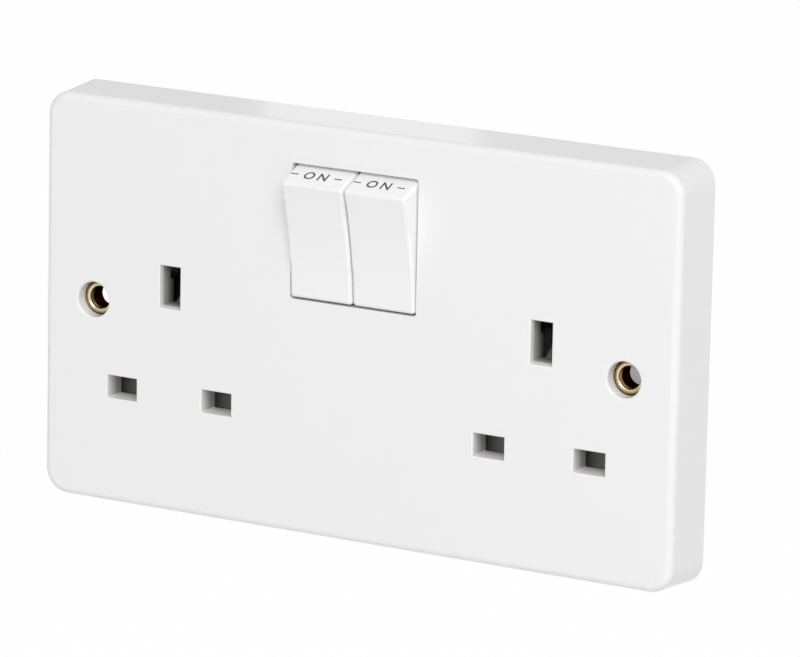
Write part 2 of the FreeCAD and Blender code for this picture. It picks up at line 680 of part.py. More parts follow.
# Springs
def coil(label, radius, wire, turns, length):
    """A coil of hexagonal wire along Z, its ends inside the given length."""
    spine = doc.addObject("Part::Helix", label + "_path")
    bind(spine, Radius=radius, Height="(%s) - 2*(%s)" % (length, wire),
         Pitch="((%s) - 2*(%s))/(%s)" % (length, wire, turns))
    place(spine, z=wire)
    section = doc.addObject("Part::RegularPolygon", label + "_wire")
    section.Polygon = 6
    bind(section, Circumradius="(%s)/2" % wire)
    section.Placement = FreeCAD.Placement(FreeCAD.Vector(), FreeCAD.Rotation(FreeCAD.Vector(1, 0, 0), 90))
    section.setExpression("Placement.Base.x", named(radius))
    section.setExpression("Placement.Base.z", named(wire))
    sweep = doc.addObject("Part::Sweep", label)
    sweep.Label = label
    doc.recompute()
    sweep.Sections = [section]
    sweep.Spine = (spine, ["Edge%d" % (i + 1) for i in range(len(spine.Shape.Edges))])
    sweep.Solid = True
    sweep.Frenet = True
    doc.recompute()
    return sweep


def plunger_spring(label, side):
    """The spring in the rocker's stem, between the bore's end and the plunger."""
    spring = coil(label, "bore_radius - spring_gap - plunger_wire/2", "plunger_wire",
                  "plunger_coil_turns", "plunger_start - bore_start")
    # The coil is drawn along Z, so it is turned to lie along the stem and then tipped with the rocker.
    place(spring, side + ROCKER_X, PIVOT_Y + " + bore_start*cos(rocker_angle/2)",
          "rocker_height + bore_start*sin(rocker_angle/2)", "rocker_angle/2 - 90")
    return spring


def shutter_spring(label, side):
    """The spring between the shutter and the base's bottom wall."""
    spring = coil(label, "shutter_spring_radius", "shutter_wire",
                  "shutter_coil_turns", "shutter_spring_length")
    place(spring, side + OUTLET_X, SHUTTER_FRONT + " + shutter_thickness/2", SPRING_SEAT)
    return spring


# Switch pieces
def plunger(label, side):
    """The plunger: a shank that slides in the stem and a round nose that rides on the see-saw."""
    body = new_body(label)
    spun(body, ("0", "plunger_start"), ("plunger_radius", "plunger_start"),
         ("plunger_radius", "plunger_shoulder"),
         ("nose_radius", "plunger_shoulder + nose_radius/2"), ("nose_radius", "plunger_reach + nose_radius"),
         ("0", "plunger_reach + nose_radius"))
    end = value("plunger_reach + nose_radius")
    soften(body, "nose_round", lambda edge: lies_at(edge, end) and edge.Closed)
    place(body, side + ROCKER_X, PIVOT_Y, "rocker_height", "rocker_angle/2")
    return body


def moving_contact(label, side):
    """The see-saw blade: two arms bent forward, with a groove that rocks on the line bar's knife."""
    body = new_body(label)
    slope = "tan(arm_angle)"
    long_end, short_end = "blade_long_arm", "-blade_short_arm"
    prism(body, "YZ_Plane", "0", "blade_width", polygon(
        ("0", "0"), ("-blade_long_arm*" + slope, long_end),
        ("-blade_long_arm*%s - blade_thickness" % slope, long_end),
        ("-blade_thickness", "0"), ("-blade_short_arm*%s - blade_thickness" % slope, short_end),
        ("-blade_short_arm*" + slope, short_end)))
    bore(body, "YZ_Plane", "0", "2*blade_width", circle("0", "0", "strip/2 + knife_gap"))
    place(body, side + ROCKER_X, KNIFE_Y, "rocker_height", "-contact_angle/2")
    return body


def moving_tip(label, side):
    """The contact tip on the back of the see-saw's long arm."""
    body = new_body(label)
    slab(body, "0", "tip_height", circle("0", "0", "tip_radius"))
    place(body, side + ROCKER_X, KNIFE_Y + " + contact_arm*sin" + ARM_TILT, TIP_Z, "-" + ARM_TILT)
    return body


def fixed_tips():
    """The contact tips on the two line contacts."""
    pieces = []
    for name, side in (("left_tip", "-"), ("right_tip", "")):
        tip = cylinder(name, "tip_radius", "tip_height", "Y")
        tip.setExpression("Placement.Base.x", named(side + ROCKER_X))
        tip.setExpression("Placement.Base.y", named(LINE_LEVEL + " - tip_height"))
        tip.setExpression("Placement.Base.z", named(TIP_Z))
        pieces.append(tip)
    return group("fixed_tips", pieces)


# Conducting strips
def live_jaws(body, x, level):
    """The two leaves that grip a line or neutral pin from above and below."""
    leaves = []
    throat = "(%s + jaw_flare)" % LIVE_MOUTH
    for sign in ("+", "-"):
        root, grip, mouth = ("(%s %s %s/2)" % (LIVE_Z, sign, gap)
                             for gap in ("jaw_root", "jaw_grip", "jaw_mouth"))
        out = " %s jaw_thickness" % sign
        leaves.append(polygon(
            (level, root), (throat, grip), (LIVE_MOUTH, mouth),
            (LIVE_MOUTH, mouth + out), (throat, grip + out), (level, root + out)))
    prism(body, "YZ_Plane", x, "jaw_width", *leaves)


def earth_jaws(body, x):
    """The two leaves that grip an earth pin from both sides."""
    leaves = []
    throat = "(%s + jaw_flare)" % EARTH_MOUTH
    for sign in ("+", "-"):
        root, grip, mouth = ("(%s %s %s/2)" % (x, sign, gap)
                             for gap in ("jaw_root", "jaw_grip", "jaw_mouth"))
        out = " %s jaw_thickness" % sign
        leaves.append(polygon(
            (root, EARTH_LEVEL), (grip, throat), (mouth, EARTH_MOUTH),
            (mouth + out, EARTH_MOUTH), (grip + out, throat), (root + out, EARTH_LEVEL)))
    prism(body, "XY_Plane", "earth_height", "earth_jaw_width", *leaves)


def line_contact(label, side):
    """One outlet's line contact: pin jaws, a run to the switch and the arm under the fixed tip."""
    body = new_body(label)
    pin = "(%s%s + pin_spread/2)" % (side, OUTLET_X)
    outward, inward = ("-", "+") if side else ("+", "-")
    web_out, web_in = (pin + way + "jaw_width/2" for way in (outward, inward))
    near, far = side + LINE_RUN_X, side + "(%s + strip_width)" % LINE_RUN_X
    arm_end = side + "(%s - tip_radius)" % ROCKER_X
    run_high = LINE_RUN_Z + " + strip_width"
    arm_low, arm_high = TIP_Z + " - tip_radius", TIP_Z + " + tip_radius"
    web_low = LIVE_Z + " - " + WEB_HALF
    slab(body, LINE_LEVEL, LINE_LEVEL + " + strip", polygon(
        (web_out, web_low), (web_out, run_high), (far, run_high), (far, arm_high), (arm_end, arm_high),
        (arm_end, arm_low), (near, arm_low), (near, LINE_RUN_Z), (web_in, LINE_RUN_Z), (web_in, web_low)))
    live_jaws(body, pin, LINE_LEVEL)
    return body


def neutral_bar():
    """The neutral bar: one strip behind both outlets, pin jaws at each end and a tail to its terminal."""
    body = new_body("neutral_bar")
    back = NEUTRAL_LEVEL + " + strip"
    pins = ["(-%s - pin_spread/2)" % OUTLET_X, "(%s - pin_spread/2)" % OUTLET_X]
    low, high = LIVE_Z + " - strip_width/2", LIVE_Z + " + strip_width/2"
    slab(body, NEUTRAL_LEVEL, back, rectangle(pins[0], pins[1], low, high))
    web_low, web_high = LIVE_Z + " - " + WEB_HALF, LIVE_Z + " + " + WEB_HALF
    webs = [rectangle(pin + " - jaw_width/2", pin + " + jaw_width/2", web_low, web_high) for pin in pins]
    slab(body, NEUTRAL_LEVEL, back, *webs, tail("-terminal_pitch", high))
    carve(body, NEUTRAL_LEVEL, back, tail_hole("-terminal_pitch"))
    for pin in pins:
        live_jaws(body, pin, NEUTRAL_LEVEL)
    return body


def tail(x, top):
    """The end of a strip that lies against the back of its terminal."""
    half = "(terminal_screw_radius + strip_spacing)"
    return rectangle("%s - %s" % (x, half), "%s + %s" % (x, half), TERMINAL_TOP + " - terminal_length", top)


def tail_hole(x):
    """The hole for the terminal's screw in the end of a strip."""
    return circle(x, TERMINAL_Z, "terminal_screw_radius + screw_gap")


def line_bar():
    """The line bar: a run under both switches, a knife edge for each see-saw and a tail to its terminal."""
    body = new_body("line_bar")
    back = LINE_LEVEL + " + strip"
    run_high = "(rocker_height - post_half_height - strip_spacing)"
    run_low = "(%s - strip_width)" % run_high
    run_start = "-(%s + blade_width/2)" % ROCKER_X
    slab(body, LINE_LEVEL, back, rectangle(run_start, "terminal_pitch", run_low, run_high))
    lug_high = "rocker_height + strip_width/2"
    lugs = [rectangle("%s - blade_width/2" % x, "%s + blade_width/2" % x, run_low, lug_high)
            for x in ("-" + ROCKER_X, ROCKER_X)]
    slab(body, LINE_LEVEL, back, *lugs)
    slab(body, LINE_LEVEL, back, tail("terminal_pitch", run_high))
    carve(body, LINE_LEVEL, back, tail_hole("terminal_pitch"))
    for x in ("-" + ROCKER_X, ROCKER_X):
        prism(body, "YZ_Plane", x, "blade_width", rectangle(
            KNIFE_Y, LINE_LEVEL + " + strip/2", "rocker_height - strip/2", "rocker_height + strip/2"))
        prism(body, "YZ_Plane", x, "blade_width", circle(KNIFE_Y, "rocker_height", "strip/2"))
    return body


def earth_bar():
    """The earth bar: one strip on the base's floor, pin jaws at each end and a tail to its terminal."""
    body = new_body("earth_bar")
    back = EARTH_LEVEL + " + strip"
    low, high = "earth_height - earth_jaw_width/2", "earth_height + earth_jaw_width/2"
    end = "(%s + 2*strip)" % STRAP_LEG
    slab(body, EARTH_LEVEL, back, rectangle("-" + end, end, low, high))
    slab(body, EARTH_LEVEL, back, tail("0", high))
    carve(body, EARTH_LEVEL, back, tail_hole("0"))
    for x in ("-" + OUTLET_X, OUTLET_X):
        earth_jaws(body, x)
    return body


def earth_strap(label, side):
    """The strap from a fixing eyelet down to the earth bar."""
    body = new_body(label)
    leg, leg_out = side + STRAP_LEG, side + "(%s + strip)" % STRAP_LEG
    end = side + "(%s + strap_width/2)" % FIXING_X
    slab(body, FIXING_BACK, STRAP_BACK, rectangle(*sorted((leg, end), key=value), STRAP_LOW, STRAP_HIGH))
    hole = circle(side + FIXING_X, "fixing_height", TUBE_RADIUS + " + press_gap")
    carve(body, FIXING_BACK, STRAP_BACK, hole)
    slab(body, FIXING_BACK, EARTH_LEVEL, rectangle(*sorted((leg, leg_out), key=value), STRAP_LOW, STRAP_HIGH))
    return body


def eyelet(label, side):
    """The brass eyelet of a fixing hole: a flange in the recess and a tube that is rolled over the strap."""
    body = new_body(label)
    end = STRAP_BACK + " + eyelet_wall"
    spun(body, ("eyelet_bore/2", FLANGE_FRONT), ("eyelet_flange/2", FLANGE_FRONT),
         ("eyelet_flange/2", FLANGE_BACK), (TUBE_RADIUS, FLANGE_BACK), (TUBE_RADIUS, STRAP_BACK),
         (TUBE_RADIUS + " + eyelet_wall", STRAP_BACK),
         (TUBE_RADIUS + " + eyelet_wall", end), ("eyelet_bore/2", end))
    front = value(FLANGE_FRONT)
    soften(body, "eyelet_lip", lambda edge: lies_at(edge, front))
    place(body, side + FIXING_X, z="fixing_height")
    return body


# Terminals and screws
def terminal(label, x, level):
    """A terminal block with its cable hole along Z and its clamp screw's hole from behind."""
    body = new_body(label)
    slab(body, level + " - terminal_thickness", level, rectangle(
        "%s - terminal_width/2" % x, "%s + terminal_width/2" % x,
        TERMINAL_TOP + " - terminal_length", TERMINAL_TOP))
    middle = level + " - terminal_thickness/2"
    bore(body, "XY_Plane", TERMINAL_Z, "2*terminal_length", circle(x, middle, "cable_radius"))
    carve(body, middle, level, circle(x, TERMINAL_Z, "terminal_screw_radius + screw_gap"))
    return body


def screw(label, radius, length, head_radius, head_height):
    """A slotted screw that points forward, its head's seat at the origin."""
    body = new_body(label)
    slab(body, "-(%s)" % length, "0", circle("0", "0", radius))
    slab(body, "0", head_height, circle("0", "0", head_radius))
    carve(body, "%s/2" % head_height, head_height, rectangle(
        "-%s" % head_radius, head_radius, "-%s/5" % head_radius, "%s/5" % head_radius))
    return body


def terminal_screws():
    """The three clamp screws, each through its strip into its terminal."""
    pieces = []
    for name, x, level in TERMINALS:
        piece = screw(name + "_screw", "terminal_screw_radius", "strip + terminal_thickness/2 - cable_radius",
                      "terminal_head_radius", "terminal_head_height")
        place(piece, x, level + " + strip", TERMINAL_Z)
        pieces.append(piece)
    return group("terminal_screws", pieces)


def base_screws():
    """The four screws that hold the base to the plate's columns."""
    pieces = []
    for number, (x, z) in enumerate(column_places(), start=1):
        piece = screw("base_screw_%d" % number, "base_screw_radius",
                      "base_floor - base_head_height + base_screw_hold",
                      "base_head_radius", "base_head_height")
        place(piece, x, FLOOR_OUTER + " - base_head_height", z)
        pieces.append(piece)
    return group("base_screws", pieces)


nodes = [face_plate(), base()]
for hand, sign in (("left_", "-"), ("right_", "")):
    for make in (rocker, plunger, plunger_spring, moving_contact, moving_tip,
                 shutter, shutter_spring, earth_guide, line_contact, earth_strap, eyelet):
        nodes.append(make(hand + make.__name__, sign))
nodes += [fixed_tips(), neutral_bar(), line_bar(), earth_bar()]
nodes += [terminal(*row) for row in TERMINALS]
nodes += [terminal_screws(), base_screws()]
doc.recompute()

# Check everything before anything is written
for item in doc.Objects:
    if "Invalid" in item.State or "Error" in item.State:
        raise RuntimeError("%s failed: %s" % (item.Label, item.State))
for node in nodes:
    if node.Shape.isNull() or not node.Shape.isValid() or not node.Shape.Solids:
        raise RuntimeError("%s has no sound shape" % node.Label)

os.makedirs("parts", exist_ok=True)
for node in nodes:
    node.Shape.exportStep("parts/%s.step" % node.Label)
    print("%-22s %2d solid(s) %9.1f mm3" % (node.Label, len(node.Shape.Solids), node.Shape.Volume))
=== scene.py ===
# %% [markdown]
# # A twin switched wall socket
# The white plate, its two rockers, the shutters behind the pin slots, the brass eyelets and all the
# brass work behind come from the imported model, which is loaded here as a fixed frame. Blender gives
# them their finishes and the print on the rockers, and then adds the camera, the floor and the
# light. Everything is in metres, in the model's own frame: X to the right seen from the front, Y into
# the wall and Z up.

# %% Load the frame
import json
from math import radians

import bpy
from mathutils import Matrix, Quaternion, Vector


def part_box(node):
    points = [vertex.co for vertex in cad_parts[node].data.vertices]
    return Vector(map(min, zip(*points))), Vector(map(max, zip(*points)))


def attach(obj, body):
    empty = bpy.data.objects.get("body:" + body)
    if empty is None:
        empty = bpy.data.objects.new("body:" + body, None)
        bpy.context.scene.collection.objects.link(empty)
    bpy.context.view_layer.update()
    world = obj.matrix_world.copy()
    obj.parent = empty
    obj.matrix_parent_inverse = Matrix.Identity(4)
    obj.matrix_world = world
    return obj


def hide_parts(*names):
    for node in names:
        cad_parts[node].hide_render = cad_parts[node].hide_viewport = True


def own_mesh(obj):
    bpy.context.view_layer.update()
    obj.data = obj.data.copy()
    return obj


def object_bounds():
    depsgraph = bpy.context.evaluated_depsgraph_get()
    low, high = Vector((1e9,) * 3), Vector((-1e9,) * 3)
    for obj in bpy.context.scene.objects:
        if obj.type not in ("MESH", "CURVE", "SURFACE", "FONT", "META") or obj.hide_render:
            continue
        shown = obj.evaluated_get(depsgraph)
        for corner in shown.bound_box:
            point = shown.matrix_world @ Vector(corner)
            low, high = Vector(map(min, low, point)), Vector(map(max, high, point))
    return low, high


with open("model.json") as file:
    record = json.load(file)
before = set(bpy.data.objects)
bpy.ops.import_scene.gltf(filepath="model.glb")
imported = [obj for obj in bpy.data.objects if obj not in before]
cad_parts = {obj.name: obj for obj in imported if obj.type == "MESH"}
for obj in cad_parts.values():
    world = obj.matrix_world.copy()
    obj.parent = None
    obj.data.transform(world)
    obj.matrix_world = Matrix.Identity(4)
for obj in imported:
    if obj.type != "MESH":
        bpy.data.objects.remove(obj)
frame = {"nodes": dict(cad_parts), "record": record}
nodes = frame["nodes"]
cad_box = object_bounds()
MM = 0.001
print("loaded", len(nodes), "solids, box", [round(v, 4) for corner in cad_box for v in corner])

# %% [markdown]
# ## Surfaces that more than one finish uses
# No moulding is one flat colour. The resin that the plate is pressed from flows a little unevenly, so
# its white drifts over some centimetres, and its skin copies the polish of the mould: almost smooth,
# with a very fine pimple. That effect is made once, as a node group that puts out a drift, a gloss
# mask and a height. Each plastic then uses it at its own strength.

# %% Node helpers


def add_node(tree, kind, **settings):
    """Add one node and set its named inputs or properties."""
    node = tree.nodes.new(kind)
    for name, value in settings.items():
        if hasattr(node, name):
            setattr(node, name, value)
        else:
            node.inputs[name.replace("_", " ").title()].default_value = value
    return node


def new_group(name, inputs, outputs):
    """Start a node group with number sockets and return its tree, its input node and its output node."""
    tree = bpy.data.node_groups.new(name, "ShaderNodeTree")
    for label, value in inputs.items():
        socket = tree.interface.new_socket(label, in_out="INPUT", socket_type="NodeSocketFloat")
        socket.default_value = value
    for label in outputs:
        tree.interface.new_socket(label, in_out="OUTPUT", socket_type="NodeSocketFloat")
    return tree, tree.nodes.new("NodeGroupInput"), tree.nodes.new("NodeGroupOutput")


def math_node(tree, operation, first, second=None):
    """One step of arithmetic on a socket, with a socket or a number."""
    node = add_node(tree, "ShaderNodeMath", operation=operation)
    tree.links.new(first, node.inputs[0])
    if isinstance(second, (int, float)):
        node.inputs[1].default_value = second
    elif second is not None:
        tree.links.new(second, node.inputs[1])
    return node.outputs["Value"]


def map_range(tree, value, low, high, to_low=0.0, to_high=1.0):
    """Map a socket from one range to another, held at its ends."""
    node = tree.nodes.new("ShaderNodeMapRange")
    for name, number in (("From Min", low), ("From Max", high), ("To Min", to_low), ("To Max", to_high)):
        node.inputs[name].default_value = number
    tree.links.new(value, node.inputs["Value"])
    return node.outputs["Result"]


def object_axes(tree):
    """The object's X, Y and Z as three sockets."""
    place = tree.nodes.new("ShaderNodeTexCoord")
    split = tree.nodes.new("ShaderNodeSeparateXYZ")
    tree.links.new(place.outputs["Object"], split.inputs["Vector"])
    return split.outputs


# %% Moulded skin group


def moulded_skin_group():
    """Drift of the resin, gloss patches and the fine pimple of a moulded skin."""
    tree, given, out = new_group(
        "moulded_skin", {"Drift Scale": 40.0, "Pimple Scale": 2600.0}, ("Drift", "Gloss", "Height"))
    place = tree.nodes.new("ShaderNodeTexCoord")
    drift = add_node(tree, "ShaderNodeTexNoise", detail=2.0, roughness=0.5)
    gloss = add_node(tree, "ShaderNodeTexNoise", scale=210.0, detail=3.0, roughness=0.6)
    pimple = add_node(tree, "ShaderNodeTexNoise", detail=1.0, roughness=0.4)
    for texture in (drift, gloss, pimple):
        tree.links.new(place.outputs["Object"], texture.inputs["Vector"])
    tree.links.new(given.outputs["Drift Scale"], drift.inputs["Scale"])
    tree.links.new(given.outputs["Pimple Scale"], pimple.inputs["Scale"])
    tree.links.new(drift.outputs["Fac"], out.inputs["Drift"])
    tree.links.new(gloss.outputs["Fac"], out.inputs["Gloss"])
    tree.links.new(pimple.outputs["Fac"], out.inputs["Height"])
    return tree


moulded_skin = moulded_skin_group()
print("made node group", moulded_skin.name)

# %% [markdown]
# Stamped and turned metal shows the way it was worked: rolled strip has long fine lines and cloudy
# tarnish. The second group stretches a noise along one direction for the lines and adds a slow cloud
# for the tarnish.

# %% Worked metal group
LINE_STRETCH = (0.06, 1.0, 1.0)


def worked_metal_group():
    """Rolling lines and cloudy tarnish for strip and turned metal."""
    tree, given, out = new_group(
        "worked_metal", {"Line Scale": 1800.0, "Cloud Scale": 260.0}, ("Lines", "Tarnish"))
    place = tree.nodes.new("ShaderNodeTexCoord")
    stretch = tree.nodes.new("ShaderNodeMapping")
    stretch.inputs["Scale"].default_value = LINE_STRETCH
    lines = add_node(tree, "ShaderNodeTexNoise", detail=2.0, roughness=0.6)
    cloud = add_node(tree, "ShaderNodeTexNoise", detail=4.0, roughness=0.6)
    tree.links.new(place.outputs["Object"], stretch.inputs["Vector"])
    tree.links.new(stretch.outputs["Vector"], lines.inputs["Vector"])
    tree.links.new(place.outputs["Object"], cloud.inputs["Vector"])
    tree.links.new(given.outputs["Line Scale"], lines.inputs["Scale"])
    tree.links.new(given.outputs["Cloud Scale"], cloud.inputs["Scale"])
    tree.links.new(lines.outputs["Fac"], out.inputs["Lines"])
    tree.links.new(cloud.outputs["Fac"], out.inputs["Tarnish"])
    return tree


worked_metal = worked_metal_group()
print("made node group", worked_metal.name)

# %% [markdown]
# ## Finishes
# A finish is a Principled shader whose colour runs between two close shades by the group's drift, and
# whose roughness runs between two values by its gloss mask. The numbers that don't vary are set on
# the shader itself. Colours are written in linear values, as the share of light that comes back. The
# white of the plate returns a little over 0.9, and the lamps are set so that it looks 238 of 255.

# %% Finish helpers
NOISE_LOW = 0.3
NOISE_HIGH = 0.7


def start_material(name, specular=0.5):
    """A new material with its tree and its shader."""
    material = bpy.data.materials.new(name)
    material.use_nodes = True
    shader = material.node_tree.nodes["Principled BSDF"]
    shader.inputs["Specular IOR Level"].default_value = specular
    return material, material.node_tree, shader


def blend_colours(tree, mask, low, high, shader):
    """Run the shader's colour between two shades, or from a colour socket to a shade."""
    mix = add_node(tree, "ShaderNodeMix", data_type="RGBA")
    first, second = [s for s in mix.inputs if s.type == "RGBA"]
    second.default_value = (*high, 1.0)
    if isinstance(low, bpy.types.NodeSocket):
        tree.links.new(low, first)
    else:
        first.default_value = (*low, 1.0)
    tree.links.new(mask, mix.inputs["Factor"])
    tree.links.new([s for s in mix.outputs if s.type == "RGBA"][0], shader.inputs["Base Color"])


def range_roughness(tree, mask, low, high, shader):
    """Run the shader's roughness between two values."""
    tree.links.new(map_range(tree, mask, NOISE_LOW, NOISE_HIGH, low, high), shader.inputs["Roughness"])


def raise_bump(tree, height, strength, distance, shader):
    """Let a height stir the shader's normal."""
    bump = tree.nodes.new("ShaderNodeBump")
    bump.inputs["Strength"].default_value = strength
    bump.inputs["Distance"].default_value = distance
    tree.links.new(height, bump.inputs["Height"])
    tree.links.new(bump.outputs["Normal"], shader.inputs["Normal"])


def add_group(tree, group, **values):
    """Place a node group and set its own values."""
    node = tree.nodes.new("ShaderNodeGroup")
    node.node_tree = group
    for name, value in values.items():
        node.inputs[name.replace("_", " ")].default_value = value
    return node


# %% Plastics
PIMPLE_STRENGTH = 0.12
POLISHED = (0.06, 0.09)
POLISHED_PIMPLE = 0.0004 * MM
PLAIN_PIMPLE = 0.01 * MM


def moulded_plastic(name, low, high, gloss, pimple, drift_scale):
    """A moulded plastic between two shades, with a range of roughness and a pimple height."""
    material, tree, shader = start_material(name)
    skin = add_group(tree, moulded_skin, Drift_Scale=drift_scale)
    blend_colours(tree, skin.outputs["Drift"], low, high, shader)
    range_roughness(tree, skin.outputs["Gloss"], *gloss, shader)
    raise_bump(tree, skin.outputs["Height"], PIMPLE_STRENGTH, pimple, shader)
    return material


white_plastic = moulded_plastic(
    "white_moulding", (0.912, 0.911, 0.912), (0.922, 0.921, 0.921), POLISHED, POLISHED_PIMPLE, 18.0)
# The rockers' white is painted a shade brighter than the plate's, as painted light against the shade in
# their windows.
rocker_plastic_painted_bright = moulded_plastic(
    "rocker_moulding_painted_bright", (0.952, 0.95, 0.951), (0.962, 0.96, 0.96), POLISHED, POLISHED_PIMPLE, 18.0)
base_plastic = moulded_plastic(
    "rear_moulding", (0.75, 0.74, 0.72), (0.8, 0.79, 0.77), (0.4, 0.55), PLAIN_PIMPLE, 70.0)
shutter_plastic = moulded_plastic(
    "shutter_moulding", (0.225, 0.23, 0.22), (0.255, 0.26, 0.248), (0.4, 0.55), PLAIN_PIMPLE, 120.0)
plunger_plastic = moulded_plastic(
    "plunger_moulding", (0.34, 0.3, 0.24), (0.4, 0.355, 0.29), (0.35, 0.5), PLAIN_PIMPLE, 150.0)
print("made plastics", white_plastic.name, base_plastic.name, shutter_plastic.name, plunger_plastic.name)

# %% [markdown]
# The walls of the line and neutral slots carry painted shade, brown and dark with depth, and the
# shutters behind carry painted shade, darkest at the left of each slot. A third group gives the place in
# the nearest
# of these four slots: across it, up from its middle, and the depth behind the plate's front.

# %% Slot place group
PLATE_FRONT = -12.6 * MM
OUTLET_X = 42.2 * MM
SLOT_FROM_OUTLET = 11.115 * MM
SLOT_Z = -17.63 * MM
SLOT_HALF_WIDTH = 3.46 * MM
SLOT_HALF_HEIGHT = 2.345 * MM


def slot_place_group():
    """Place across, up and into the nearest line or neutral slot."""
    tree, _, out = new_group("slot_place", {}, ("Across", "Up", "Depth"))
    axes = object_axes(tree)
    side = math_node(tree, "SIGN", axes["X"])
    from_outlet = math_node(tree, "SUBTRACT", math_node(tree, "ABSOLUTE", axes["X"]), OUTLET_X)
    to_slot = math_node(tree, "MULTIPLY", math_node(tree, "SIGN", from_outlet), SLOT_FROM_OUTLET)
    from_slot = math_node(tree, "SUBTRACT", from_outlet, to_slot)
    tree.links.new(math_node(tree, "MULTIPLY", from_slot, side), out.inputs["Across"])
    tree.links.new(math_node(tree, "SUBTRACT", axes["Z"], SLOT_Z), out.inputs["Up"])
    tree.links.new(math_node(tree, "SUBTRACT", axes["Y"], PLATE_FRONT), out.inputs["Depth"])
    return tree


slot_place = slot_place_group()
print("made node group", slot_place.name)

# %% Painted shade on the slot walls and the shutters
WALL_MARGIN = 0.1 * MM
SLOT_SHADE_DEPTH = 3.8 * MM
SLOT_SHADE_BROWN = (0.42, 0.375, 0.33)
SHUTTER_SHADE = (0.02, 0.02, 0.021)


def colour_so_far(shader):
    """The socket that gives the shader its colour."""
    return shader.inputs["Base Color"].links[0].from_socket


def paint_slot_wall_shade(material):
    """Paint shade on the side walls of the slots, darker and browner with depth, and leave their ledges
    as they are.
    """
    tree = material.node_tree
    shader = tree.nodes["Principled BSDF"]
    place = add_group(tree, slot_place)
    reach = math_node(tree, "ABSOLUTE", place.outputs["Across"])
    inside = math_node(tree, "LESS_THAN", reach, SLOT_HALF_WIDTH + WALL_MARGIN)
    height = math_node(tree, "ABSOLUTE", place.outputs["Up"])
    between = math_node(tree, "LESS_THAN", height, SLOT_HALF_HEIGHT - WALL_MARGIN)
    depth = map_range(tree, place.outputs["Depth"], WALL_MARGIN, SLOT_SHADE_DEPTH)
    # painted shade: the slot walls darken and turn brown with depth, where little light reaches
    wall_shade = math_node(tree, "MULTIPLY", math_node(tree, "MULTIPLY", inside, between), depth)
    blend_colours(tree, wall_shade, colour_so_far(shader), SLOT_SHADE_BROWN, shader)


def paint_shutter_shade(material):
    """Paint shade on each shutter, darkest towards the left of its slot, where the wall shadows it."""
    tree = material.node_tree
    shader = tree.nodes["Principled BSDF"]
    place = add_group(tree, slot_place)
    # painted shadow: each shutter darkens towards the left wall of its slot
    left = map_range(tree, place.outputs["Across"], SLOT_HALF_WIDTH, -SLOT_HALF_WIDTH)
    blend_colours(tree, left, colour_so_far(shader), SHUTTER_SHADE, shader)


paint_slot_wall_shade(white_plastic)
paint_shutter_shade(shutter_plastic)
print("shaded", white_plastic.name, shutter_plastic.name)

# %% [markdown]
# The guides of the earth pins are pale grey at the mouth, and painted shade makes them grow dark with
# depth. Their colour runs along Y, which is the depth behind the plate's front, and the drift of the
# resin stirs it.

# %% Earth guides
GUIDE_FRONT = -11.2 * MM
GUIDE_SHADE_END = -7.3 * MM
GUIDE_MOUTH_GREY = (0.6, 0.595, 0.575)
GUIDE_SHADE_GREY = (0.1, 0.1, 0.097)
GUIDE_STIR = 0.3
NOISE_MIDDLE = 0.5


def guide_finish():
    """Grey plastic with painted shade that takes it from pale to dark with depth."""
    material, tree, shader = start_material("guide_moulding")
    skin = add_group(tree, moulded_skin, Drift_Scale=300.0)
    # painted shade: the guide darkens deeper behind the plate's front
    depth = map_range(tree, object_axes(tree)["Y"], GUIDE_FRONT, GUIDE_SHADE_END)
    drift = math_node(tree, "SUBTRACT", skin.outputs["Drift"], NOISE_MIDDLE)
    stir = math_node(tree, "MULTIPLY", drift, GUIDE_STIR)
    shade = math_node(tree, "ADD", depth, stir)
    shade.node.use_clamp = True
    blend_colours(tree, shade, GUIDE_MOUTH_GREY, GUIDE_SHADE_GREY, shader)
    range_roughness(tree, skin.outputs["Gloss"], 0.35, 0.5, shader)
    return material


guide_plastic = guide_finish()
print("made", guide_plastic.name)

# %% Metals
LINE_STRENGTH = 0.2


def metal_finish(name, low, high, gloss, lines):
    """A metal between its tarnished and its bright shade."""
    material, tree, shader = start_material(name)
    shader.inputs["Metallic"].default_value = 1.0
    work = add_group(tree, worked_metal)
    blend_colours(tree, work.outputs["Tarnish"], low, high, shader)
    range_roughness(tree, work.outputs["Lines"], *gloss, shader)
    raise_bump(tree, work.outputs["Lines"], LINE_STRENGTH, lines, shader)
    return material


brass = metal_finish("strip_brass", (0.66, 0.47, 0.2), (0.78, 0.6, 0.3), (0.28, 0.42), 0.006 * MM)
silver = metal_finish("contact_silver", (0.72, 0.71, 0.69), (0.86, 0.85, 0.83), (0.2, 0.32), 0.004 * MM)
steel = metal_finish("plated_steel", (0.5, 0.5, 0.49), (0.64, 0.64, 0.63), (0.26, 0.4), 0.005 * MM)
print("made metals", brass.name, silver.name, steel.name)

# %% [markdown]
# The eyelets are bright brass, rolled over to a round lip. A painted highlight lies on the lip's crest,
# and painted shade where the lip meets the plate and down the inside of the tube, so the lip shows as a
# bright ring between two dark ones; a cloud of real tarnish shifts these bands a little. Both eyelets
# lie at the same distance from the plate's middle, so one material serves them: it takes the distance
# from the nearer hole's axis and runs a colour ramp along it, and the painted shade darkens it with
# depth.

# %% Eyelet brass
FIXING_X = 60.3 * MM
FIXING_Z = -0.2 * MM
BORE_RADIUS = 2.25 * MM
LIP_RADIUS = 3.5 * MM
LIP_FRONT = -10.2 * MM
STAIN_REACH = 0.25 * MM
